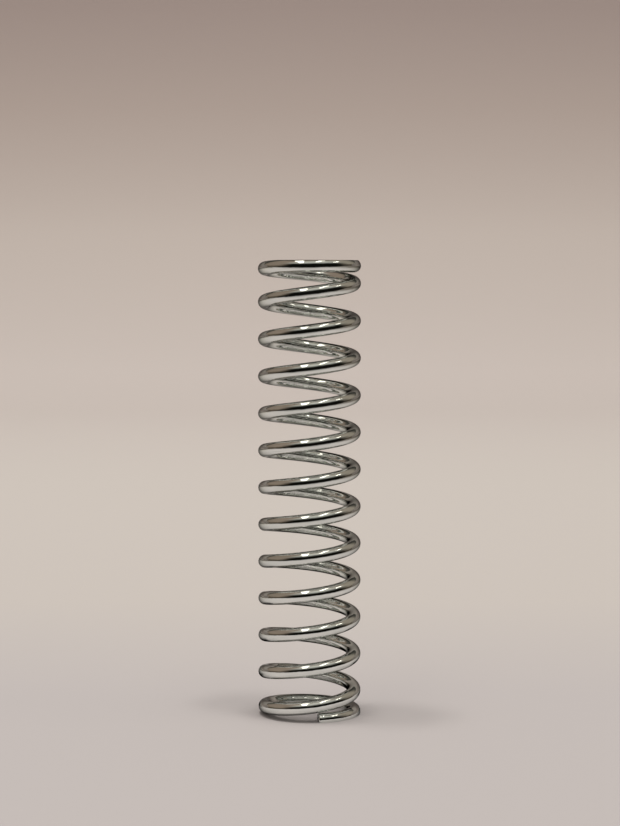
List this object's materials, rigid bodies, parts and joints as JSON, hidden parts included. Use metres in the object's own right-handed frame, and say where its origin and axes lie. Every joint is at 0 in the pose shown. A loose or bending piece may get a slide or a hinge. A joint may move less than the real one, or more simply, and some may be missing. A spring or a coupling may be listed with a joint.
{
  "type": "compression spring",
  "caption": "Round-wire compression spring, right-hand wound, with closed ends ground flat so that it stands upright.",
  "frame": {"origin": "middle of the lower ground end, on the coil axis", "axes": "+Z along the coil axis from the lower ground end to the upper one; the lower cut tip is on the -Y side, 11 degrees towards +X"},
  "size_m": [0.01, 0.01, 0.0443],
  "materials": {
    "zinc_plated_wire": "bright zinc plate on drawn spring wire, with faint draw marks along the wire"
  },
  "bodies": {
    "root": {"spring": "zinc_plated_wire"}
  },
  "joints": []
}
